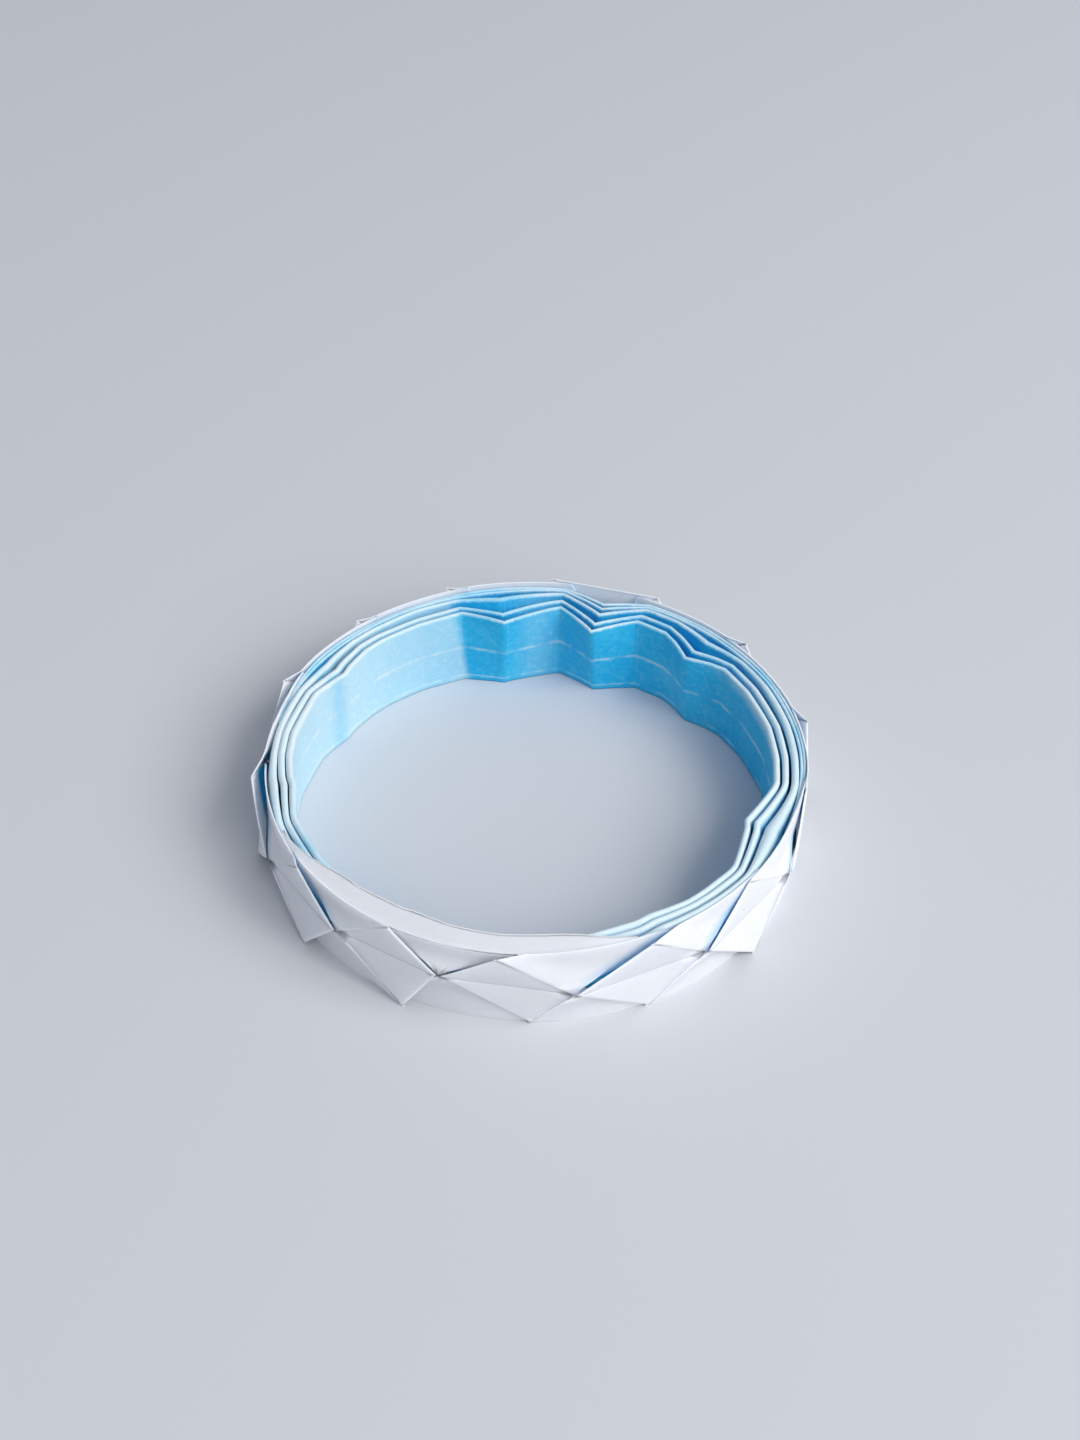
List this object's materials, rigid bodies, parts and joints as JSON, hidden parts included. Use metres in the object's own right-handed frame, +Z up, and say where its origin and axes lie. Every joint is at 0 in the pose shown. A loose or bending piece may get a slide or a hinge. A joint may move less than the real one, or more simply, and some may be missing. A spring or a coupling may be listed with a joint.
{
  "type": "pleated paper bracelet",
  "caption": "Round bracelet folded from one sheet of two-coloured paper: pleated walls inside, overlapping diamonds and triangles with open slits outside.",
  "frame": {"origin": "centre of the bracelet's width and depth, on the surface that it lies on", "axes": "+Z up along the ring's axis, -Y towards the side opposite the join of the strip's ends, +X to the right of it"},
  "size_m": [0.0632, 0.0626, 0.0104],
  "materials": {
    "paper": "matt, white on one side of the sheet and blue on the other"
  },
  "bodies": {
    "root": {"paper_ring": "paper"}
  },
  "joints": []
}
